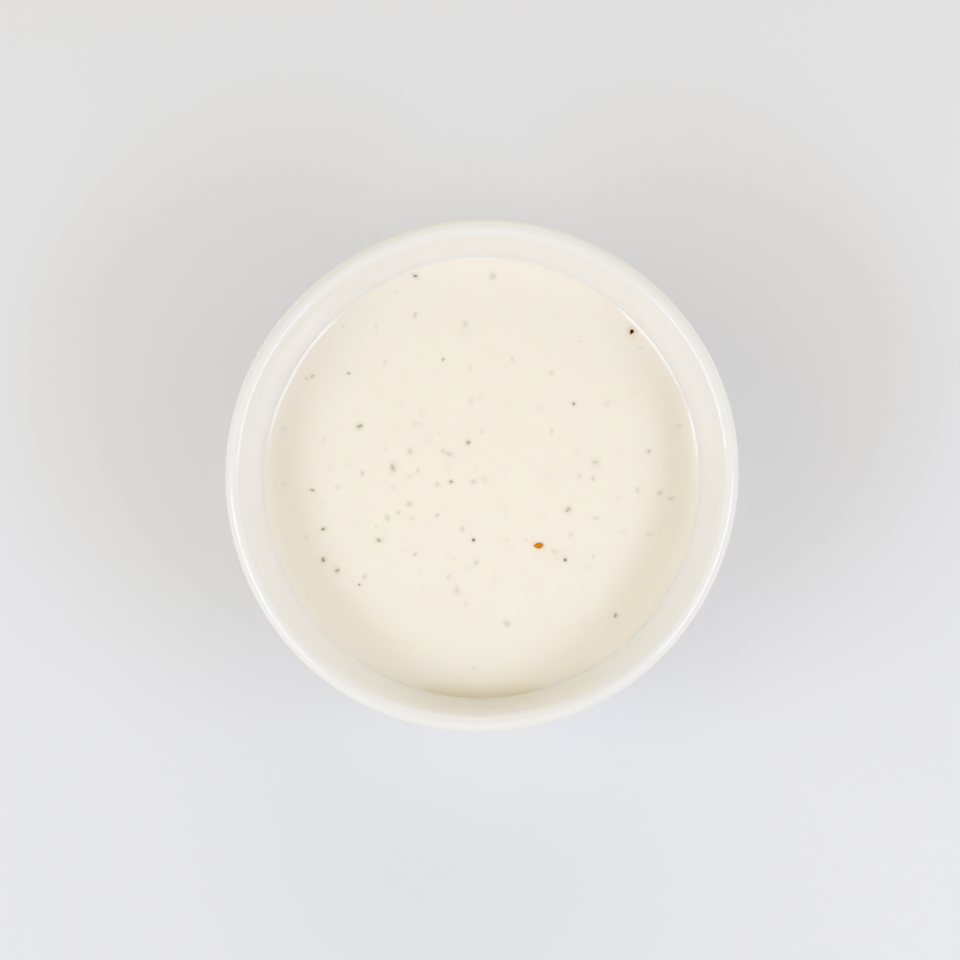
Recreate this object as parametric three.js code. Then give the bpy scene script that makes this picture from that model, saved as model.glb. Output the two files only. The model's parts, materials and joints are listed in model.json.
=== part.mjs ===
// A small round bowl of glazed porcelain, filled with ranch dressing to well below its lip.
//
// Millimetres, +Z up, origin on the table at the centre of the foot ring.
//
// Both pieces are turned profiles. The bowl has a foot ring, a rounded turn, a leaning wall of
// one thickness and a round lip. Firing has pulled its mouth slightly oval: the wall is out of
// round, more so towards the lip, and the dressing that fills the bowl has the same outline.
// The dressing is level, and climbs the wall a little where it wets it.

import * as THREE from "three";

// The bowl.
const HEIGHT = 32;
const LIP_RADIUS = 45.2; // outside the lip, on average
const WALL = 3.2; // thickness of the wall, and width of the round lip
const LEAN = THREE.MathUtils.degToRad(16); // of the wall, away from upright
const TURN_ROUND = 18; // outside radius of the turn from wall to underside
const FLOOR = 5; // table to the inside floor
const FOOT_RADIUS = 25.5;
const FOOT_WIDTH = 3.2;
const FOOT_HEIGHT = 1.8; // also the depth of the hollow inside the foot ring
const FOOT_EASE = 0.4; // rounding of the foot's two lower edges

// The dressing.
const LEVEL = 21.6; // table to the dressing's surface
const CLIMB = 1.2; // how far the dressing climbs the wall
const CLIMB_REACH = 1.4; // distance from the wall over which the climb falls by e
const CLIMB_WIDTH = 5.6; // from the wall to where the dressing is level
const GAP = 0.3; // between the dressing and the glaze

// How far firing has pulled the lip out of round.
const OVAL = 0.24;
const OVAL_TURN = THREE.MathUtils.degToRad(44); // heading of the oval's long axis
const WAVE = 0.09; // a weaker unevenness
const WAVE_LOBES = 5;

const SEGMENTS = 64; // around each piece
const CURVE_STEPS = 5; // half the steps in each arc of a profile
const CLIMB_STEPS = 7;
const CLIMB_CROWDING = 1.5; // over 1, the steps are shorter towards the wall

const PORCELAIN = new THREE.MeshStandardMaterial({ color: 0xf1eeec, roughness: 0.12, metalness: 0 });
const DRESSING = new THREE.MeshStandardMaterial({ color: 0xfaf1e5, roughness: 0.3, metalness: 0 });

const HALF_WALL = WALL / 2;
const lipCentre = new THREE.Vector2(LIP_RADIUS - HALF_WALL, HEIGHT - HALF_WALL);

// Radius, at a height, of a face that lies `offset` outside the middle of the wall.
function wallRadius(height, offset) {
  return lipCentre.x + offset / Math.cos(LEAN) - (lipCentre.y - height) * Math.tan(LEAN);
}

// Centre of a round turn that joins such a face to a level surface at height `floor`.
function turnCentre(offset, radius, floor) {
  const height = floor + radius;
  return new THREE.Vector2(wallRadius(height, offset - radius), height);
}

// The bowl's section: hollow under the foot ring, foot, turn, wall, lip, inside wall, floor.
function bowlSection() {
  const turn = turnCentre(HALF_WALL, TURN_ROUND, FOOT_HEIGHT);
  const insideRound = TURN_ROUND - WALL;
  const inside = turnCentre(-HALF_WALL, insideRound, FLOOR);
  const meetsFoot = -Math.acos((FOOT_RADIUS - turn.x) / TURN_ROUND);
  const footInner = FOOT_RADIUS - FOOT_WIDTH;

  const section = new THREE.Path();
  section.moveTo(0, FOOT_HEIGHT);
  section.lineTo(footInner, FOOT_HEIGHT);
  section.lineTo(footInner, FOOT_EASE);
  section.lineTo(footInner + FOOT_EASE, 0);
  section.lineTo(FOOT_RADIUS - FOOT_EASE, 0);
  section.lineTo(FOOT_RADIUS, FOOT_EASE);
  section.absarc(turn.x, turn.y, TURN_ROUND, meetsFoot, -LEAN, false);
  section.absarc(lipCentre.x, lipCentre.y, HALF_WALL, -LEAN, Math.PI - LEAN, false);
  section.absarc(inside.x, inside.y, insideRound, -LEAN, -Math.PI / 2, true);
  section.lineTo(0, FLOOR);
  return section.getPoints(CURVE_STEPS);
}

// The dressing's section: up from the floor, along the wall, and in over the climb to the level.
function dressingSection() {
  const offset = -HALF_WALL - GAP;
  const round = TURN_ROUND - WALL - GAP;
  const turn = turnCentre(offset, round, FLOOR + GAP);
  const edge = wallRadius(LEVEL + CLIMB, offset);

  const section = new THREE.Path();
  section.moveTo(0, FLOOR + GAP);
  section.lineTo(turn.x, FLOOR + GAP);
  section.absarc(turn.x, turn.y, round, -Math.PI / 2, -LEAN, false);
  for (let step = 0; step <= CLIMB_STEPS; step++) {
    const inwards = CLIMB_WIDTH * (step / CLIMB_STEPS) ** CLIMB_CROWDING;
    section.lineTo(edge - inwards, LEVEL + CLIMB * Math.exp(-inwards / CLIMB_REACH));
  }
  section.lineTo(0, LEVEL);
  return section.getPoints(CURVE_STEPS);
}

// How far out of round the lip is at a heading, as a share of its radius.
function outOfRound(heading) {
  const oval = OVAL * Math.cos(2 * (heading - OVAL_TURN));
  const wave = WAVE * Math.sin(WAVE_LOBES * heading);
  return (oval + wave) / LIP_RADIUS;
}

// A solid turned about +Z from its section, then pulled out of round in step with its height.
function turned(name, section, material) {
  const geometry = new THREE.LatheGeometry(section, SEGMENTS);
  geometry.rotateX(Math.PI / 2);
  const position = geometry.getAttribute("position");
  for (let i = 0; i < position.count; i++) {
    const x = position.getX(i);
    const y = position.getY(i);
    const stretch = 1 + outOfRound(Math.atan2(y, x)) * (position.getZ(i) / HEIGHT);
    position.setXY(i, x * stretch, y * stretch);
  }
  const mesh = new THREE.Mesh(geometry, material);
  mesh.name = name;
  return mesh;
}

const bowlOfDressing = new THREE.Group();
bowlOfDressing.add(turned("bowl", bowlSection(), PORCELAIN));
bowlOfDressing.add(turned("ranch_dressing", dressingSection(), DRESSING));

export default bowlOfDressing;
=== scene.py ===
"""A small round porcelain bowl of ranch dressing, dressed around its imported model.

Metres, +Z up. The bowl is a section spun round its axis, and the dressing a round sheet drawn
out to the wall and closed underneath. Both then get the slight unevenness of fired clay and of
a poured sauce. Dried herbs, black pepper and red pepper are chips: a few are modelled of each
kind, then copied and set down one by one. What has sunk just under the surface shows as soft
shadows painted on the dressing.
"""

import json
import math
import random

import bpy
import numpy as np
from mathutils import Matrix, Vector

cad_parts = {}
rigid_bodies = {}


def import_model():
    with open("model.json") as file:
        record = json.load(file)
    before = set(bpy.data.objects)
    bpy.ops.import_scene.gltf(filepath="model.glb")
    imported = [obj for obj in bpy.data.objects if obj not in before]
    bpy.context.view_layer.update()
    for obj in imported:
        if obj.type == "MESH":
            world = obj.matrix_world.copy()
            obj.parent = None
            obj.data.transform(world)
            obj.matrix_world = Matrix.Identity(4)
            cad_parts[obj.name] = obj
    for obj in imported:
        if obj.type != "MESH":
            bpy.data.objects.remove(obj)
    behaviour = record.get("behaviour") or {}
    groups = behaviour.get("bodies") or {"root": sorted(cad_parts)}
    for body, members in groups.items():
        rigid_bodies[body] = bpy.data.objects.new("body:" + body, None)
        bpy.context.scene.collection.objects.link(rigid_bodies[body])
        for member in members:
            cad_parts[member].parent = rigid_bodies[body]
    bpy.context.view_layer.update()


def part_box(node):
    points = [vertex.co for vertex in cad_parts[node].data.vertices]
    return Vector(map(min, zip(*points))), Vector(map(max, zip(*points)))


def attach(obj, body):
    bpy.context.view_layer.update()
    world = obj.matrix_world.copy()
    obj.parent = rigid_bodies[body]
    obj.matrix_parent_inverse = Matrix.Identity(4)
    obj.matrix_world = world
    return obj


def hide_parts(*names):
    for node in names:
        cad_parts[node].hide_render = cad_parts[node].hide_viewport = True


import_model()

MM = 0.001

# The bowl, outside in.
BOWL_LOW, BOWL_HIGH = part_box("bowl")
HEIGHT = BOWL_HIGH.z
LIP_RADIUS = (BOWL_HIGH.x - BOWL_LOW.x + BOWL_HIGH.y - BOWL_LOW.y) / 4
WALL = 3.2 * MM
HALF_WALL = WALL / 2
LEAN = math.radians(16)
TURN_ROUND = 18 * MM
FLOOR = 5 * MM
FOOT_RADIUS = 25.5 * MM
FOOT_WIDTH = 3.2 * MM
FOOT_HEIGHT = 1.8 * MM
FOOT_EASE = 0.45 * MM
FOOT_FILLET = 0.7 * MM
GLAZE_LINE = 0.8 * MM  # height on the foot where the glaze stops

# Firing pulled the mouth out of round, and the lip a little out of level.
OVAL = 0.24 * MM
OVAL_TURN = math.radians(44)
WAVE = 0.09 * MM
WAVE_LOBES = 5
LIP_DIP = 0.06 * MM
LIP_ROUND = 1.7  # 2 would be half a circle, less draws the lip up to a soft ridge

# The hollow is a little narrower than an even wall would leave it, nearer to the front, longer
# from front to back, and uneven.
HOLLOW_LESS = 0.36 * MM
HOLLOW_FORWARDS = 0.45 * MM
HOLLOW_OVAL = 0.34 * MM
HOLLOW_WAVE = 0.1 * MM

# The dressing.
SOLID_CLIMB = 1.2 * MM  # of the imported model's dressing
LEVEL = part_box("ranch_dressing")[1].z - SOLID_CLIMB
CLIMB = 1.2 * MM  # up the wall that it has wetted, at the back and the sides
CLIMB_REACH = 1.7 * MM
DIP = 0.3 * MM  # down to the dry wall at the front
DIP_REACH = 2.2 * MM
INTO_WALL = 0.15 * MM  # how far the dressing reaches into the wall, so that no gap shows
SWELL = 0.05 * MM  # height of the slow swells in its surface
EDGE_WIDTH = 3.4 * MM  # of the surface's outer band, which is made of rings

AROUND = 256  # steps round the bowl
GRID = 236  # cells across the dressing's surface
EDGE_RINGS = 18  # in the surface's outer band
CLOSE = 0.02 * MM  # near enough to be on a ring of points

# Flecks that lie on the surface, in millimetres: across, up, length, width, then the heading in
# degrees and how thickly a film of dressing veils the fleck, from 0 to 1.
HERB_FLECKS = [
    (-28.5, -15, 0.9, 0.6, 100, 0.15), (-28.5, -9.5, 0.7, 0.5, 20, 0.1),
    (-22, 9, 1.1, 0.5, 20, 0.3), (-2.5, 6, 0.8, 0.6, 28, 0.3), (24, -25, 0.7, 0.5, 70, 0.25),
    (-30.5, -2.5, 0.8, 0.5, 0, 0.45), (15.5, -6, 1.0, 0.5, 44, 0.5),
    (-24, 18.5, 0.6, 0.5, 0, 0.5), (-16, 1.5, 1.3, 0.6, 112, 0.55),
    (-18.5, -11.5, 1.0, 0.6, 118, 0.55), (-7, 21, 0.6, 0.5, 50, 0.55),
    (30, 4.5, 0.7, 0.5, 45, 0.75), (-30.5, 18, 0.7, 0.5, 30, 0.8),
    (-31.5, 17.5, 0.4, 0.4, 80, 0.8), (20.5, 2.5, 1.3, 0.4, 19, 0.9),
]
PEPPER_FLECKS = [
    (-12, 36, 0.9, 0.4, 18, 0.1), (-1.5, -11.5, 0.7, 0.6, 0, 0.0), (15, -15, 0.7, 0.5, 45, 0.1),
    (-5.5, -1, 0.7, 0.5, 10, 0.4), (16.5, 13, 0.7, 0.5, 90, 0.5), (-22, -19.5, 0.5, 0.4, 0, 0.4),
    (-26, -17, 0.9, 0.6, 32, 0.55),
]
RED_FLECKS = [(10, -12.5, 1.7, 1.1, 5, 0.85), (27, 26, 1.2, 0.65, 60, 0.0)]
HERB_CRUMBS = 12  # finer flecks, scattered
PEPPER_CRUMBS = 8

# Flecks that have sunk: across, up, length, then how dark they show, from 0 to 1.
SUNK_HERBS = [
    (-13, -5, 1.1, 0.42), (32, -3, 1.1, 0.42), (-12, 29, 1.0, 0.4), (-17, -7.5, 1.2, 0.36),
    (-3, 27.5, 1.1, 0.3), (-11.5, 1, 0.9, 0.34), (-13, 4.5, 1.2, 0.3), (-4.5, -20.5, 1.4, 0.28),
    (13, -13.5, 1.1, 0.3), (-26, -2, 1.0, 0.22), (-6, 4, 1.2, 0.4), (22.5, 13, 1.5, 0.14),
    (12.5, 8, 1.0, 0.26), (20.5, -7.5, 1.3, 0.26), (-35.5, 8.5, 0.8, 0.16), (-19, 27, 0.8, 0.22),
    (-12.5, -7.5, 1.0, 0.18), (-16, -2, 0.9, 0.15), (24.5, -4, 0.9, 0.14), (25.5, -10, 1.0, 0.14),
    (-17.5, 5, 1.0, 0.12), (28.5, 23, 0.9, 0.14), (-31.5, -11, 1.0, 0.14), (12.5, -0.5, 3.6, 0.05),
    (14, -14.5, 3.2, 0.06), (-5, 3.5, 3.0, 0.04), (-3, -23, 1.1, 0.12), (-21.5, 0.5, 1.0, 0.36),
    (30, -10.5, 1.0, 0.24), (28, -2.5, 1.1, 0.32), (-28.5, 6.5, 0.9, 0.17), (-2, 19.5, 0.9, 0.17),
]
SUNK_SPICES = [
    (-7, 4.5, 0.8, 0.35), (20, -0.5, 1.0, 0.42), (-8, -7, 0.9, 0.44), (34, -4, 1.0, 0.36),
    (-12, -14, 0.9, 0.38), (-1.5, -1, 1.1, 0.34), (-1, -15.5, 0.9, 0.36), (2, 36, 1.3, 0.36),
    (-3.5, -9.5, 1.0, 0.36), (-21, -18, 1.0, 0.34), (-15, -6.5, 0.8, 0.34), (-8, -1.5, 0.9, 0.32),
    (17.5, 0, 1.2, 0.24), (5.5, 21, 0.8, 0.26), (20, -14.5, 0.8, 0.28), (-6, -18, 0.9, 0.24),
    (35.5, 9, 1.1, 0.16), (4.5, -26.5, 1.2, 0.44), (-17.5, 20.5, 0.8, 0.26),
    (12.5, 18.5, 0.9, 0.24), (-25, 27, 0.9, 0.16), (-35.5, -1.5, 0.9, 0.1), (-15.5, 33, 0.9, 0.14),
    (4.5, -11.5, 1.0, 0.1), (0, 8, 0.9, 0.2), (16, -10.5, 1.0, 0.24), (-1.5, -34.5, 0.9, 0.2),
    (-2, 13.5, 1.5, 0.14), (0.5, -0.5, 1.6, 0.14), (-13, 0, 0.9, 0.12), (-12, 9.5, 1.0, 0.14),
    (18, -20, 0.9, 0.12),
]
FAINT = 40  # more of each kind, fainter and scattered


# ---------------------------------------------------------------- hand tools


def pick(piece):
    """Only this piece is selected, and it is the active one."""
    for other in bpy.context.scene.objects:
        other.select_set(False)
    piece.select_set(True)
    bpy.context.view_layer.objects.active = piece
    return piece


def edit(piece, by_edges=False, keep=False):
    """Opens the piece for editing, with nothing in it selected unless it is to be kept."""
    pick(piece)
    bpy.context.tool_settings.mesh_select_mode = (not by_edges, by_edges, False)
    bpy.ops.object.mode_set(mode="EDIT")
    if not keep:
        bpy.ops.mesh.select_all(action="DESELECT")


def close_edit():
    bpy.ops.object.mode_set(mode="OBJECT")


def face_outwards():
    bpy.ops.mesh.select_all(action="SELECT")
    bpy.ops.mesh.normals_make_consistent(inside=False)


def points_of(piece):
    """Every point of the piece, one row each."""
    flat = np.empty(len(piece.data.vertices) * 3)
    piece.data.vertices.foreach_get("co", flat)
    return flat.reshape(-1, 3)


def polar(points):
    """Distance of each point from the axis, and its heading."""
    return np.hypot(points[:, 0], points[:, 1]), np.arctan2(points[:, 1], points[:, 0])


def move_points(piece, points):
    piece.data.vertices.foreach_set("co", points.ravel())
    piece.data.update()


def paint(piece, name, values):
    """Paints a value on each point of the piece, for its material to read."""
    layer = piece.data.attributes.new(name, "FLOAT", "POINT")
    layer.data.foreach_set("value", values)


def smooth(piece, angle):
    pick(piece)
    bpy.ops.object.shade_smooth_by_angle(angle=math.radians(angle))


def eased(value, low, high):
    """From 0 at low to 1 at high, easing in and out."""
    share = np.clip((value - low) / (high - low), 0, 1)
    return share**2 * (3 - 2 * share)


def arc(centre, radius, start, end, steps):
    """Points (radius, height) round an arc of a section."""
    turns = (start + (end - start) * i / steps for i in range(steps + 1))
    return [(centre[0] + radius * math.cos(t), centre[1] + radius * math.sin(t)) for t in turns]


def line(start, end, steps):
    """Points after `start`, up to `end`."""
    share = [(i + 1) / steps for i in range(steps)]
    return [(start[0] + (end[0] - start[0]) * s, start[1] + (end[1] - start[1]) * s) for s in share]


def spun(name, section, steps):
    """A closed form: the section drawn point by point beside the axis, then spun round it."""
    bpy.ops.object.select_all(action="DESELECT")
    bpy.ops.mesh.primitive_plane_add(size=MM, location=(0, 0, 0))
    piece = bpy.context.object
    piece.name = name
    bpy.ops.object.mode_set(mode="EDIT")
    bpy.ops.mesh.merge(type="CENTER")
    bpy.ops.transform.translate(value=(section[0][0], 0, section[0][1]))
    for (radius, height), (next_radius, next_height) in zip(section, section[1:]):
        step = (next_radius - radius, 0, next_height - height)
        bpy.ops.mesh.extrude_vertices_move(TRANSFORM_OT_translate={"value": step})
    bpy.ops.mesh.select_all(action="SELECT")
    bpy.ops.mesh.spin(steps=steps, angle=math.tau, center=(0, 0, 0), axis=(0, 0, 1))
    bpy.ops.mesh.select_all(action="SELECT")
    bpy.ops.mesh.remove_doubles(threshold=0.002 * MM)
    face_outwards()
    close_edit()
    return piece


# ---------------------------------------------------------------- the bowl


def wall_radius(height, offset):
    """Radius of a face that lies `offset` outside the middle of the wall."""
    from_lip = HEIGHT - HALF_WALL - height
    return LIP_RADIUS - HALF_WALL + offset / math.cos(LEAN) - from_lip * math.tan(LEAN)


def turn_centre(offset, radius, floor):
    """Centre of the round turn between such a face and a level one at height `floor`."""
    return wall_radius(floor + radius, offset - radius), floor + radius


def over_lip(centre, steps):
    """Points over the lip, from the outside of the wall to the inside."""
    points = []
    for across, up in arc((0, 0), 1, -LEAN, math.pi - LEAN, steps):
        power = 2 / LIP_ROUND if up > 0 else 1
        across = math.copysign(abs(across) ** power, across)
        up = math.copysign(abs(up) ** power, up)
        points.append((centre[0] + HALF_WALL * across, centre[1] + HALF_WALL * up))
    return points


def bowl_section():
    """Under the foot, foot, turn, wall, lip, inside wall, inside turn, floor."""
    turn = turn_centre(HALF_WALL, TURN_ROUND, FOOT_HEIGHT)
    inside_round = TURN_ROUND - WALL
    inside = turn_centre(-HALF_WALL, inside_round, FLOOR)
    lip = (LIP_RADIUS - HALF_WALL, HEIGHT - HALF_WALL)
    meets_foot = -math.acos((FOOT_RADIUS - turn[0]) / TURN_ROUND)
    foot_inner = FOOT_RADIUS - FOOT_WIDTH

    section = [(0, FOOT_HEIGHT)]
    section += line(section[-1], (foot_inner, FOOT_HEIGHT), 12)
    section += line(section[-1], (foot_inner, 0), 2)
    section += line(section[-1], (FOOT_RADIUS, 0), 4)
    section += arc(turn, TURN_ROUND, meets_foot, -LEAN, 28)
    wall_top = over_lip(lip, 28)
    section += line(section[-1], wall_top[0], 16)
    section += wall_top[1:]
    inside_turn = arc(inside, inside_round, -LEAN, -math.pi / 2, 14)
    section += line(section[-1], inside_turn[0], 16)
    section += inside_turn[1:]
    section += line(section[-1], (0, FLOOR), 6)
    return section


def out_of_round(heading):
    """How far the lip strays at a heading, as a share of its radius."""
    oval = OVAL * np.cos(2 * (heading - OVAL_TURN))
    wave = WAVE * np.sin(WAVE_LOBES * heading)
    return (oval + wave) / LIP_RADIUS


def stretched(points):
    """The points pulled out of round in step with their height."""
    _, heading = polar(points)
    out = points.copy()
    out[:, :2] *= (1 + out_of_round(heading) * points[:, 2] / HEIGHT)[:, None]
    return out


def hollow_stray(heading):
    """How far the inside wall strays outwards at a heading."""
    wave = HOLLOW_WAVE * np.cos(4 * heading) - HOLLOW_OVAL * np.cos(2 * heading)
    return wave - HOLLOW_LESS - HOLLOW_FORWARDS * np.sin(heading)


def strayed(points, share=1.0):
    """The points moved with the inside wall: beside it by its stray, times the share, and less
    towards the axis."""
    _, heading = polar(points)
    out = points.copy()
    out[:, :2] *= (1 + share * hollow_stray(heading) / wall_radius(LEVEL, -HALF_WALL))[:, None]
    return out


def fired(points):
    """The bowl's points as the kiln leaves them: out of round, and the lip wavering."""
    radius, heading = polar(points)
    height = points[:, 2]
    turn = turn_centre(HALF_WALL, TURN_ROUND, FOOT_HEIGHT)
    from_turn = np.hypot(np.clip(radius - turn[0], 0, None), height - turn[1])
    inside = np.where(
        height > turn[1], radius < wall_radius(height, 0), from_turn < TURN_ROUND - HALF_WALL
    )
    below_lip = eased(HEIGHT - height, HALF_WALL, HEIGHT - LEVEL - CLIMB)
    out = stretched(strayed(points, inside * below_lip))
    dip = np.sin(2 * heading + 0.7) + 0.5 * np.sin(3 * heading + 2.1) + 0.3 * np.sin(7 * heading)
    out[:, 2] -= LIP_DIP * (dip + 1.8) / 2 * (height / HEIGHT) ** 4
    return out


def turn_foot_height():
    """Height at which the turn meets the outside of the foot."""
    turn = turn_centre(HALF_WALL, TURN_ROUND, FOOT_HEIGHT)
    return turn[1] - math.sqrt(TURN_ROUND**2 - (FOOT_RADIUS - turn[0]) ** 2)


def ease_foot(piece):
    """Rounds the foot ring's two lower edges, and fills its two corners with glaze."""
    foot_inner = FOOT_RADIUS - FOOT_WIDTH
    lower = [(foot_inner, 0.0), (FOOT_RADIUS, 0.0)]
    upper = [(foot_inner, FOOT_HEIGHT), (FOOT_RADIUS, turn_foot_height())]
    for rings, width in ((lower, FOOT_EASE), (upper, FOOT_FILLET)):
        edit(piece)  # and closed again, to leave nothing selected
        close_edit()
        points = points_of(piece)
        radius, _ = polar(points)
        for ring_radius, ring_height in rings:
            near = np.hypot(radius - ring_radius, points[:, 2] - ring_height) < CLOSE
            for edge in piece.data.edges:
                if near[edge.vertices[0]] and near[edge.vertices[1]]:
                    edge.select = True
        edit(piece, by_edges=True, keep=True)
        bpy.ops.mesh.bevel(offset=width, segments=4, affect="EDGES", clamp_overlap=True)
        close_edit()


def make_bowl():
    piece = spun("porcelain_bowl", bowl_section(), AROUND)
    ease_foot(piece)
    move_points(piece, fired(points_of(piece)))
    smooth(piece, 40)
    return piece


# ---------------------------------------------------------------- the dressing


def round_off(points, radius):
    """A square sheet of points, from -1 to 1, spread evenly over a disc."""
    x, y = points[:, 0], points[:, 1]
    wide = np.abs(x) >= np.abs(y)
    reach = np.where(wide, x, y)
    safe = np.where(np.abs(reach) < 1e-9, 1.0, reach)
    slope = np.where(np.abs(reach) < 1e-9, 0.0, np.where(wide, y, x) / safe)
    angle = np.where(wide, slope * math.pi / 4, math.pi / 2 - slope * math.pi / 4)
    out = points.copy()
    out[:, 0] = radius * reach * np.cos(angle)
    out[:, 1] = radius * reach * np.sin(angle)
    return out


def swells(x, y):
    """Slow, uneven swells left where the dressing was poured, from about -1 to 1."""
    total = np.zeros_like(x)
    draw = random.Random(4)
    for _ in range(9):
        heading = draw.uniform(0, math.tau)
        length = draw.uniform(14, 34) * MM
        start = draw.uniform(0, math.tau)
        along = x * math.cos(heading) + y * math.sin(heading)
        total += np.sin(math.tau * along / length + start)
    return total / 4


def edge_rise(heading, inwards):
    """How far the surface has risen near the wall: it climbs where it has wetted the wall, and
    rounds down to it at the front, where it last flowed forward."""
    backwards = np.sin(heading)
    uneven = 0.05 * np.sin(3 * heading + 0.4) + 0.05 * np.sin(7 * heading + 1.9)
    uneven += 0.04 * np.sin(12 * heading + 0.3) + 0.03 * np.sin(23 * heading + 2.6)
    climb = CLIMB * (1 + uneven) * eased(backwards, -0.96, -0.7)
    dip = DIP * eased(-backwards, 0.93, 1.0)
    return climb * np.exp(-inwards / CLIMB_REACH) - dip * np.exp(-inwards / DIP_REACH)


def surface_height(x, y):
    """Height of the dressing's surface: level, swelling a little, and uneven at the wall."""
    heading = np.arctan2(y, x)
    wall = wall_radius(LEVEL + edge_rise(heading, 0), -HALF_WALL) + hollow_stray(heading)
    inwards = np.clip(wall - np.hypot(x, y), 0, None)
    off_wall = 1 - np.exp(-inwards / (4 * MM))
    return LEVEL + edge_rise(heading, inwards) + SWELL * off_wall * swells(x, y)


def grow_ring(radius, height, from_radius, from_height):
    """Extrudes the open edge of the sheet to a ring of another radius and height."""
    bpy.ops.mesh.extrude_edges_move(TRANSFORM_OT_translate={"value": (0, 0, height - from_height)})
    share = radius / from_radius
    bpy.ops.transform.resize(value=(share, share, 1), center_override=(0, 0, height))


def make_dressing():
    """A level sheet, drawn out to the wall, down along it, and closed underneath."""
    sheet_radius = wall_radius(LEVEL, -HALF_WALL) - EDGE_WIDTH
    bpy.ops.object.select_all(action="DESELECT")
    bpy.ops.mesh.primitive_grid_add(
        x_subdivisions=GRID, y_subdivisions=GRID, size=2, location=(0, 0, 0)
    )
    piece = bpy.context.object
    piece.name = "ranch_dressing_fill"
    sheet = round_off(points_of(piece), sheet_radius)
    sheet[:, 2] = LEVEL
    move_points(piece, sheet)

    offset = INTO_WALL - HALF_WALL
    edge = wall_radius(LEVEL, offset)
    shares = [((i + 1) / EDGE_RINGS) ** 0.85 for i in range(EDGE_RINGS)]  # crowded at the wall
    rings = [(sheet_radius + (edge - sheet_radius) * share, LEVEL) for share in shares]
    below = LEVEL - 2 * DIP
    rings.append((wall_radius(below, offset), below))
    inside_round = TURN_ROUND - WALL
    centre = turn_centre(-HALF_WALL, inside_round, FLOOR)
    rings += arc(centre, inside_round + INTO_WALL, -LEAN, -math.pi / 2, 6)
    rings.append((4 * MM, rings[-1][1]))

    edit(piece, by_edges=True)
    bpy.ops.mesh.select_non_manifold()
    last = (sheet_radius, LEVEL)
    for ring in rings:
        grow_ring(*ring, *last)
        last = ring
    bpy.ops.mesh.merge(type="CENTER")
    face_outwards()
    close_edit()

    points = points_of(piece)
    radius, heading = polar(points)
    top = np.abs(points[:, 2] - LEVEL) < 0.001 * MM
    outwards = np.clip((radius - sheet_radius) / (edge - sheet_radius), 0, 1)
    follow = 1 + outwards * edge_rise(heading, 0) * math.tan(LEAN) / edge  # the leaning wall
    points[:, :2] *= np.where(top, follow, 1)[:, None]
    points = strayed(points)
    points[:, 2] = np.where(top, surface_height(points[:, 0], points[:, 1]), points[:, 2])
    move_points(piece, stretched(points))
    paint_shade_and_tones(piece)
    smooth(piece, 60)
    return piece


def sunk_shadow(points, flecks, lying, draw, faint):
    """Soft oval shadows: of the sunk flecks, round those that lie on the surface, and of as many
    faint ones as asked."""
    scattered = []
    for _ in range(faint):
        x, y = draw.gauss(-3, 15), draw.gauss(-1, 15)
        scattered.append((x, y, draw.uniform(0.6, 2.2), draw.uniform(0.02, 0.065)))
    shadow = np.zeros(len(points))
    around = [(x, y, 1.5 * length, 0.42 - 0.25 * veil) for x, y, length, _, _, veil in lying]
    for x, y, length, dark in flecks + scattered + around:
        turn = draw.uniform(0, math.tau)
        width = length * draw.uniform(0.55, 0.9)
        dx, dy = points[:, 0] - x * MM, points[:, 1] - y * MM
        along = (dx * math.cos(turn) + dy * math.sin(turn)) / (0.5 * length * MM)
        across = (dy * math.cos(turn) - dx * math.sin(turn)) / (0.5 * width * MM)
        shadow += dark * np.exp(-(along**2 + across**2))
    return np.clip(shadow, 0, 0.8)


def paint_shade_and_tones(piece):
    """Where the dressing's tone changes: painted shade in the dip at the front, paler where it thins
    out up the wall, and clouded over what has sunk."""
    points = points_of(piece)
    radius, heading = polar(points)
    wall = wall_radius(points[:, 2], -HALF_WALL) + hollow_stray(heading)
    rise = edge_rise(heading, np.clip(wall - radius, 0, None))
    # Painted shade: darker and yellower where the surface dips down to the dry wall at the front.
    paint(piece, "dip_shade", eased(-rise, 0.1 * DIP, 0.8 * DIP))
    paint(piece, "thin_film", eased(rise, 0.75 * CLIMB, 0.95 * CLIMB))
    draw = random.Random(12)
    paint(piece, "herb_shadow", sunk_shadow(points, SUNK_HERBS, HERB_FLECKS, draw, FAINT))
    paint(piece, "spice_shadow", sunk_shadow(points, SUNK_SPICES, PEPPER_FLECKS, draw, FAINT))
    paint(piece, "red_stain", sunk_shadow(points, [], RED_FLECKS, draw, 0))


# ---------------------------------------------------------------- herbs and spices

HALF_CHIP = 0.5 * MM  # a chip is made 1 mm long and wide, then set down at a fleck's size


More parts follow.
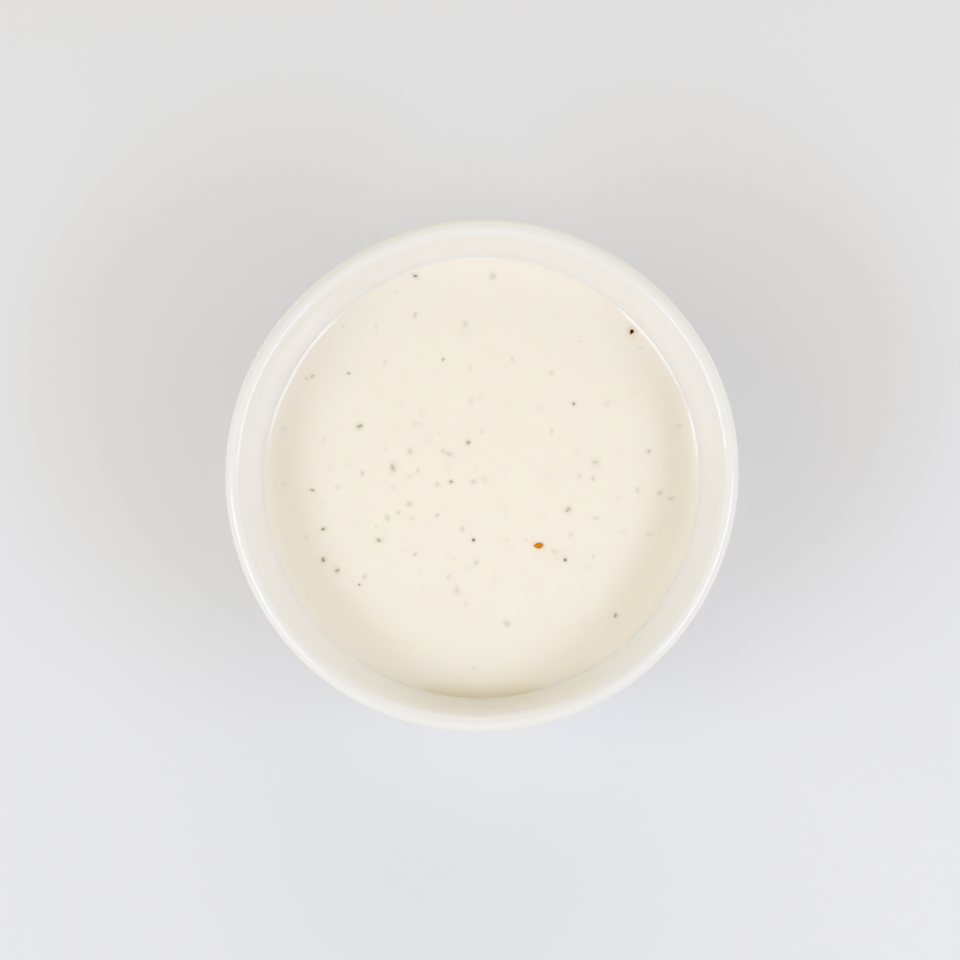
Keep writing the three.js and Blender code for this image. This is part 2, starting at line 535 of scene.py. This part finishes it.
def leaf_chip(draw):
    """A scrap of dried leaf, 1 mm long and wide: ragged, thin, arched and creased."""
    bpy.ops.object.select_all(action="DESELECT")
    bpy.ops.mesh.primitive_circle_add(
        vertices=16, radius=HALF_CHIP, fill_type="NGON", location=(0, 0, 0)
    )
    chip = bpy.context.object
    bpy.ops.object.mode_set(mode="EDIT")
    bpy.ops.mesh.select_all(action="SELECT")
    bpy.ops.mesh.inset(thickness=0.12 * MM)
    bpy.ops.mesh.inset(thickness=0.14 * MM)
    bpy.ops.mesh.poke()
    bpy.ops.mesh.select_all(action="SELECT")
    bpy.ops.mesh.extrude_region_move(TRANSFORM_OT_translate={"value": (0, 0, 0.07 * MM)})
    face_outwards()
    close_edit()
    points = points_of(chip)
    radius, heading = polar(points)
    ragged = np.ones(len(points))
    for lobes, depth in ((2, 0.16), (3, 0.16), (5, 0.12), (7, 0.07)):
        ragged += depth * draw.uniform(0.4, 1.0) * np.sin(lobes * heading + draw.uniform(0, math.tau))
    reach = radius / HALF_CHIP
    points[:, :2] *= ragged[:, None]
    crease = np.abs(points[:, 1] + 0.3 * points[:, 0]) / HALF_CHIP
    curl = np.cos(heading + draw.uniform(0, math.tau))
    points[:, 2] -= (0.12 * reach**2 + 0.05 * reach * curl + 0.06 * crease) * MM
    move_points(chip, points)
    return chip


def flake_chip(draw):
    """A scrap of red pepper: like leaf, but drawn to a point at one end."""
    chip = leaf_chip(draw)
    points = points_of(chip)
    points[:, 1] *= 1 + 0.75 * np.clip(points[:, 0] / HALF_CHIP, -1, 0.4)
    move_points(chip, points)
    return chip


def husk_chip(draw):
    """A splinter of cracked spice, 1 mm long and wide: angular, with one rounded side left."""
    bpy.ops.object.select_all(action="DESELECT")
    bpy.ops.mesh.primitive_ico_sphere_add(subdivisions=2, radius=HALF_CHIP, location=(0, 0, 0))
    chip = bpy.context.object
    bpy.ops.object.mode_set(mode="EDIT")
    for _ in range(5):
        heading, height = draw.uniform(0, math.tau), draw.uniform(-0.6, 1.2)
        out = Vector((math.cos(heading), math.sin(heading), height)).normalized()
        bpy.ops.mesh.select_all(action="SELECT")
        cut = out * draw.uniform(0.24, 0.38) * MM
        bpy.ops.mesh.bisect(plane_co=cut, plane_no=out, use_fill=True, clear_outer=True)
    face_outwards()
    close_edit()
    return chip


def set_down(chip, fleck, flatness, sunk, draw):
    """A copy of the chip at a fleck's place, size and heading, sunk to a share of its height."""
    x, y, length, width, heading, veil = fleck
    copy = chip.copy()
    copy.data = chip.data.copy()
    bpy.context.scene.collection.objects.link(copy)
    thick = flatness * (length + width) / 2
    tilt = Matrix.Rotation(draw.uniform(-0.16, 0.16), 4, "X")
    tilt @= Matrix.Rotation(draw.uniform(-0.16, 0.16), 4, "Y")
    turn = Matrix.Rotation(math.radians(heading), 4, "Z")
    copy.data.transform(turn @ tilt @ Matrix.Diagonal((length, width, thick, 1)))
    points = points_of(copy)
    low, high = points[:, 2].min(), points[:, 2].max()
    surface = float(surface_height(np.array([x * MM]), np.array([y * MM]))[0])
    points += (x * MM, y * MM, surface - (low + (high - low) * sunk))
    move_points(copy, points)
    paint(copy, "veil", np.full(len(points), float(veil)))
    return copy


def strewn(name, make_chip, shapes, flecks, flatness, sunk, draw):
    """One piece: chips of a few shapes, set down one for each fleck."""
    chips = [make_chip(draw) for _ in range(shapes)]
    copies = [set_down(draw.choice(chips), fleck, flatness, sunk, draw) for fleck in flecks]
    for chip in chips:
        bpy.data.objects.remove(chip)
    pick(copies[0])
    for copy in copies:
        copy.select_set(True)
    bpy.ops.object.join()
    piece = bpy.context.object
    piece.name = name
    smooth(piece, 35)
    return piece


def crumbs(count, draw, largest):
    """Fine flecks scattered over the dressing, thickest around the middle, and mostly veiled."""
    flecks = []
    while len(flecks) < count:
        x, y = draw.gauss(-3, 18), draw.gauss(-1, 17)
        if math.hypot(x, y) < 37:
            size = draw.uniform(0.12, largest)
            length = size * draw.uniform(1, 1.6)
            flecks.append((x, y, length, size, draw.uniform(0, 180), draw.uniform(0.5, 1.1)))
    return flecks


# ---------------------------------------------------------------- materials


class Graph:
    """The nodes of a material or of the room, and short ways to add and join them."""

    def __init__(self, owner):
        owner.use_nodes = True
        self.nodes = owner.node_tree.nodes
        self.links = owner.node_tree.links

    def feed(self, socket, value):
        """Sets a socket to a plain value, or links it to another node's output."""
        if isinstance(value, bpy.types.NodeSocket):
            self.links.new(value, socket)
        else:
            socket.default_value = value

    def maths(self, kind, first, second):
        node = self.nodes.new("ShaderNodeMath")
        node.operation = kind
        self.feed(node.inputs[0], first)
        self.feed(node.inputs[1], second)
        return node.outputs[0]

    def vectors(self, kind, *values):
        node = self.nodes.new("ShaderNodeVectorMath")
        node.operation = kind
        for socket, value in zip(node.inputs, values):
            self.feed(socket, value)
        return node.outputs["Value" if kind == "DOT_PRODUCT" else "Vector"]

    def spread(self, value, low, high, to_low=0.0, to_high=1.0):
        """Maps low..high to to_low..to_high, with no overshoot."""
        node = self.nodes.new("ShaderNodeMapRange")
        names = ("Value", "From Min", "From Max", "To Min", "To Max")
        for name, number in zip(names, (value, low, high, to_low, to_high)):
            self.feed(node.inputs[name], number)
        return node.outputs["Result"]

    def blend(self, share, first, second):
        """A colour between two, by a share from 0 to 1."""
        node = self.nodes.new("ShaderNodeMix")
        node.data_type = "RGBA"
        self.feed(node.inputs["Factor"], share)
        colours = [socket for socket in node.inputs if socket.type == "RGBA"]
        self.feed(colours[0], first)
        self.feed(colours[1], second)
        return next(socket for socket in node.outputs if socket.type == "RGBA")


class Finish(Graph):
    """A material in the making."""

    def __init__(self, name):
        self.material = bpy.data.materials.new(name)
        super().__init__(self.material)
        self.shader = self.nodes["Principled BSDF"]
        self.place = self.nodes.new("ShaderNodeTexCoord").outputs["Object"]

    def noise(self, size, detail=2.0, roughness=0.5, distortion=0.0):
        """Noise from 0 to 1 whose clumps are about `size` across."""
        node = self.nodes.new("ShaderNodeTexNoise")
        self.feed(node.inputs["Vector"], self.place)
        node.inputs["Scale"].default_value = 1 / size
        node.inputs["Detail"].default_value = detail
        node.inputs["Roughness"].default_value = roughness
        node.inputs["Distortion"].default_value = distortion
        return node.outputs["Fac"]

    def height_of_place(self):
        node = self.nodes.new("ShaderNodeSeparateXYZ")
        self.feed(node.inputs[0], self.place)
        return node.outputs["Z"]

    def painted(self, name):
        """A value painted on the piece's points."""
        node = self.nodes.new("ShaderNodeAttribute")
        node.attribute_name = name
        return node.outputs["Fac"]

    def relief(self, height, depth, strength):
        node = self.nodes.new("ShaderNodeBump")
        node.inputs["Strength"].default_value = strength
        node.inputs["Distance"].default_value = depth
        self.feed(node.inputs["Height"], height)
        return node.outputs["Normal"]

    def set(self, **values):
        """Sets the shader's own sockets: Base_Color for "Base Color", and so on."""
        for name, value in values.items():
            self.feed(self.shader.inputs[name.replace("_", " ")], value)
        return self.material


def tone(red, green, blue):
    return (red, green, blue, 1.0)


def glazed_porcelain():
    """White glaze over the whole bowl but for the bare, sandy edge of its foot."""
    finish = Finish("glazed_porcelain")
    waver = finish.spread(finish.noise(6 * MM), 0.3, 0.7, -0.25 * MM, 0.25 * MM)
    height = finish.maths("ADD", finish.height_of_place(), waver)
    glazed = finish.spread(height, GLAZE_LINE - 0.06 * MM, GLAZE_LINE + 0.06 * MM)

    cloud = finish.noise(22 * MM, detail=3)
    glaze = finish.blend(cloud, tone(0.855, 0.849, 0.824), tone(0.882, 0.877, 0.856))
    grain = finish.noise(0.35 * MM, detail=4, roughness=0.7)
    bare = finish.blend(grain, tone(0.66, 0.61, 0.53), tone(0.80, 0.76, 0.69))
    sheen = finish.spread(finish.noise(9 * MM), 0.3, 0.7, 0.04, 0.07)
    peel = finish.noise(2.6 * MM, detail=1)
    smooth_or_sandy = finish.spread(glazed, 0, 1, grain, peel)
    return finish.set(
        Base_Color=finish.blend(glazed, bare, glaze),
        Roughness=finish.spread(glazed, 0, 1, 0.8, sheen),
        IOR=1.5,
        Normal=finish.relief(smooth_or_sandy, 0.02 * MM, 0.5),
    )


def creamy_dressing():
    """Cream, clouded where herbs and spices lie just under the surface, with a wet sheen."""
    finish = Finish("creamy_dressing")
    cloud = finish.noise(11 * MM, detail=3, distortion=0.4)
    cream = finish.blend(cloud, tone(0.953, 0.886, 0.780), tone(0.969, 0.902, 0.800))
    # Painted shade in the dip at the front wall, darker and yellower.
    dip_shaded = finish.blend(finish.painted("dip_shade"), cream, tone(0.875, 0.785, 0.61))
    thinned = finish.blend(finish.painted("thin_film"), dip_shaded, tone(0.955, 0.905, 0.835))
    greened = finish.blend(finish.painted("herb_shadow"), thinned, tone(0.36, 0.38, 0.30))
    clouded = finish.blend(finish.painted("spice_shadow"), greened, tone(0.36, 0.31, 0.29))
    stained = finish.blend(finish.painted("red_stain"), clouded, tone(0.80, 0.42, 0.12))
    sheen = finish.spread(finish.noise(4 * MM, detail=3), 0.3, 0.7, 0.08, 0.12)
    return finish.set(
        Base_Color=stained,
        Roughness=sheen,
        IOR=1.46,
        Subsurface_Weight=0.3,
        Subsurface_Radius=(1.0, 0.7, 0.4),
        Subsurface_Scale=0.5 * MM,
        Normal=finish.relief(finish.noise(1.8 * MM, detail=2), 0.02 * MM, 0.2),
    )


def dried(name, bare, veiled):
    """Mottled leaf or husk, wetted by the dressing, and paler where a film of it lies over."""
    finish = Finish(name)
    mottle = finish.noise(0.25 * MM, detail=4, roughness=0.65)
    uneven = finish.spread(mottle, 0.3, 0.7, -0.14, 0.14)
    share = finish.spread(finish.maths("ADD", finish.painted("veil"), uneven), 0, 1)
    return finish.set(
        Base_Color=finish.blend(share, bare, veiled),
        Roughness=finish.spread(mottle, 0.3, 0.7, 0.3, 0.55),
        IOR=1.15,
        Normal=finish.relief(mottle, 0.04 * MM, 0.5),
    )


def table_top():
    finish = Finish("pale_table")
    mottle = finish.noise(40 * MM, detail=3)
    pale = finish.blend(mottle, tone(0.783, 0.789, 0.815), tone(0.789, 0.795, 0.821))
    return finish.set(Base_Color=pale, Roughness=0.7)


# ---------------------------------------------------------------- the room

WARM = (1.11, 0.98, 0.725)
PALE = (1.015, 0.98, 0.885)

# The room's bright parts: heading, angle above the table, brightness and tint.
GLOWS = [
    (0, 55, 1.38, PALE),
    (180, 55, 1.55, PALE),
    (270, 55, 0.3, PALE),
    (0, 20, 0.95, PALE),
    (180, 20, 1.55, PALE),
    (45, 20, 0.5, PALE),
    (75, 20, 0.95, PALE),
    (95, 20, 1.4, WARM),
    (225, 20, 1.0, WARM),
    (270, 20, 0.75, WARM),
    (315, 20, 1.2, WARM),
]
GLOW_FOCUS = 12  # the higher, the smaller each bright part

SOFTBOX_WIDE = 0.29
SOFTBOX_TALL = 0.09
SOFTBOX_AWAY = 0.45

CAMERA_AWAY = 421 * MM
CAMERA_LEAN = math.radians(1.1)  # from straight down, towards the front
CAMERA_AIM = Vector((-0.34 * MM, -0.88 * MM, HEIGHT))


def towards(heading, angle_up):
    turn, up = math.radians(heading), math.radians(angle_up)
    return Vector((math.cos(turn) * math.cos(up), math.sin(turn) * math.cos(up), math.sin(up)))


def make_table():
    bpy.ops.object.select_all(action="DESELECT")
    bpy.ops.mesh.primitive_plane_add(size=6, location=(0, 0, 0))
    table = bpy.context.object
    table.name = "table"
    table.data.materials.append(table_top())


def softbox(name, heading, angle_up, brightness, colour):
    """A soft light that faces the bowl, at a heading and an angle above the table."""
    light = bpy.data.lights.new(name, "AREA")
    light.shape = "RECTANGLE"
    light.size = SOFTBOX_WIDE
    light.size_y = SOFTBOX_TALL
    light.energy = brightness
    light.color = colour
    lamp = bpy.data.objects.new(name, light)
    out = towards(heading, angle_up)
    lamp.location = out * SOFTBOX_AWAY + Vector((0, 0, HEIGHT / 2))
    lamp.rotation_euler = out.to_track_quat("Z", "Y").to_euler()
    bpy.context.scene.collection.objects.link(lamp)


def make_room():
    """Pale walls that glow unevenly, and a softbox on the left and on the right."""
    world = bpy.data.worlds.new("pale_room")
    bpy.context.scene.world = world
    air = Graph(world)
    outwards = air.nodes.new("ShaderNodeTexCoord").outputs["Generated"]
    light = (0.0, 0.0, 0.0)
    for heading, angle_up, brightness, tint in GLOWS:
        nearness = air.vectors("DOT_PRODUCT", outwards, towards(heading, angle_up))
        glow = air.maths("POWER", air.maths("MAXIMUM", nearness, 0), GLOW_FOCUS)
        light = air.vectors("MULTIPLY_ADD", glow, Vector(tint) * brightness, light)
    air.feed(air.nodes["Background"].inputs["Color"], light)
    softbox("left_softbox", 205, 38, 0.49, (0.56, 0.69, 1.0))
    softbox("right_softbox", 338, 38, 0.53, (0.54, 0.66, 1.0))
    bpy.context.scene.view_settings.view_transform = "Standard"


def make_camera():
    """Overhead, a hair towards the front, with the bowl a little above the middle of the view."""
    lens = bpy.data.cameras.new("camera")
    lens.lens = 90
    lens.clip_start = 0.01
    camera = bpy.data.objects.new("camera", lens)
    bpy.context.scene.collection.objects.link(camera)
    back = Vector((0, -math.sin(CAMERA_LEAN), math.cos(CAMERA_LEAN)))
    camera.location = CAMERA_AIM + back * CAMERA_AWAY
    camera.rotation_euler = (CAMERA_LEAN, 0, 0)
    bpy.context.scene.camera = camera


# ---------------------------------------------------------------- all together


def finish_piece(piece, material, slot, *nodes):
    piece.data.materials.clear()
    piece.data.materials.append(material)
    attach(piece, "root")
    if nodes:
        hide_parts(*nodes)


make_table()
make_room()
make_camera()
finish_piece(make_bowl(), glazed_porcelain(), "porcelain", "bowl")
finish_piece(make_dressing(), creamy_dressing(), "dressing", "ranch_dressing")

chance = random.Random(7)
herb_flecks = HERB_FLECKS + crumbs(HERB_CRUMBS, chance, 0.3)
herbs = strewn("dried_herbs", leaf_chip, 4, herb_flecks, 0.7, 0.4, chance)
herb = dried("dried_herb", tone(0.37, 0.35, 0.235), tone(0.82, 0.76, 0.62))
finish_piece(herbs, herb, "dried_herb")

pepper_flecks = PEPPER_FLECKS + crumbs(PEPPER_CRUMBS, chance, 0.25)
peppers = strewn("black_pepper", husk_chip, 4, pepper_flecks, 0.4, 0.55, chance)
pepper = dried("black_pepper", tone(0.25, 0.225, 0.185), tone(0.78, 0.70, 0.55))
finish_piece(peppers, pepper, "black_pepper")

# The scrap that no dressing veils is nearly black, the veiled flake orange.
flakes = strewn("red_pepper", flake_chip, 2, RED_FLECKS, 0.8, 0.3, chance)
flake = dried("red_pepper", tone(0.02, 0.003, 0.001), tone(0.80, 0.27, 0.004))
finish_piece(flakes, flake, "red_pepper")
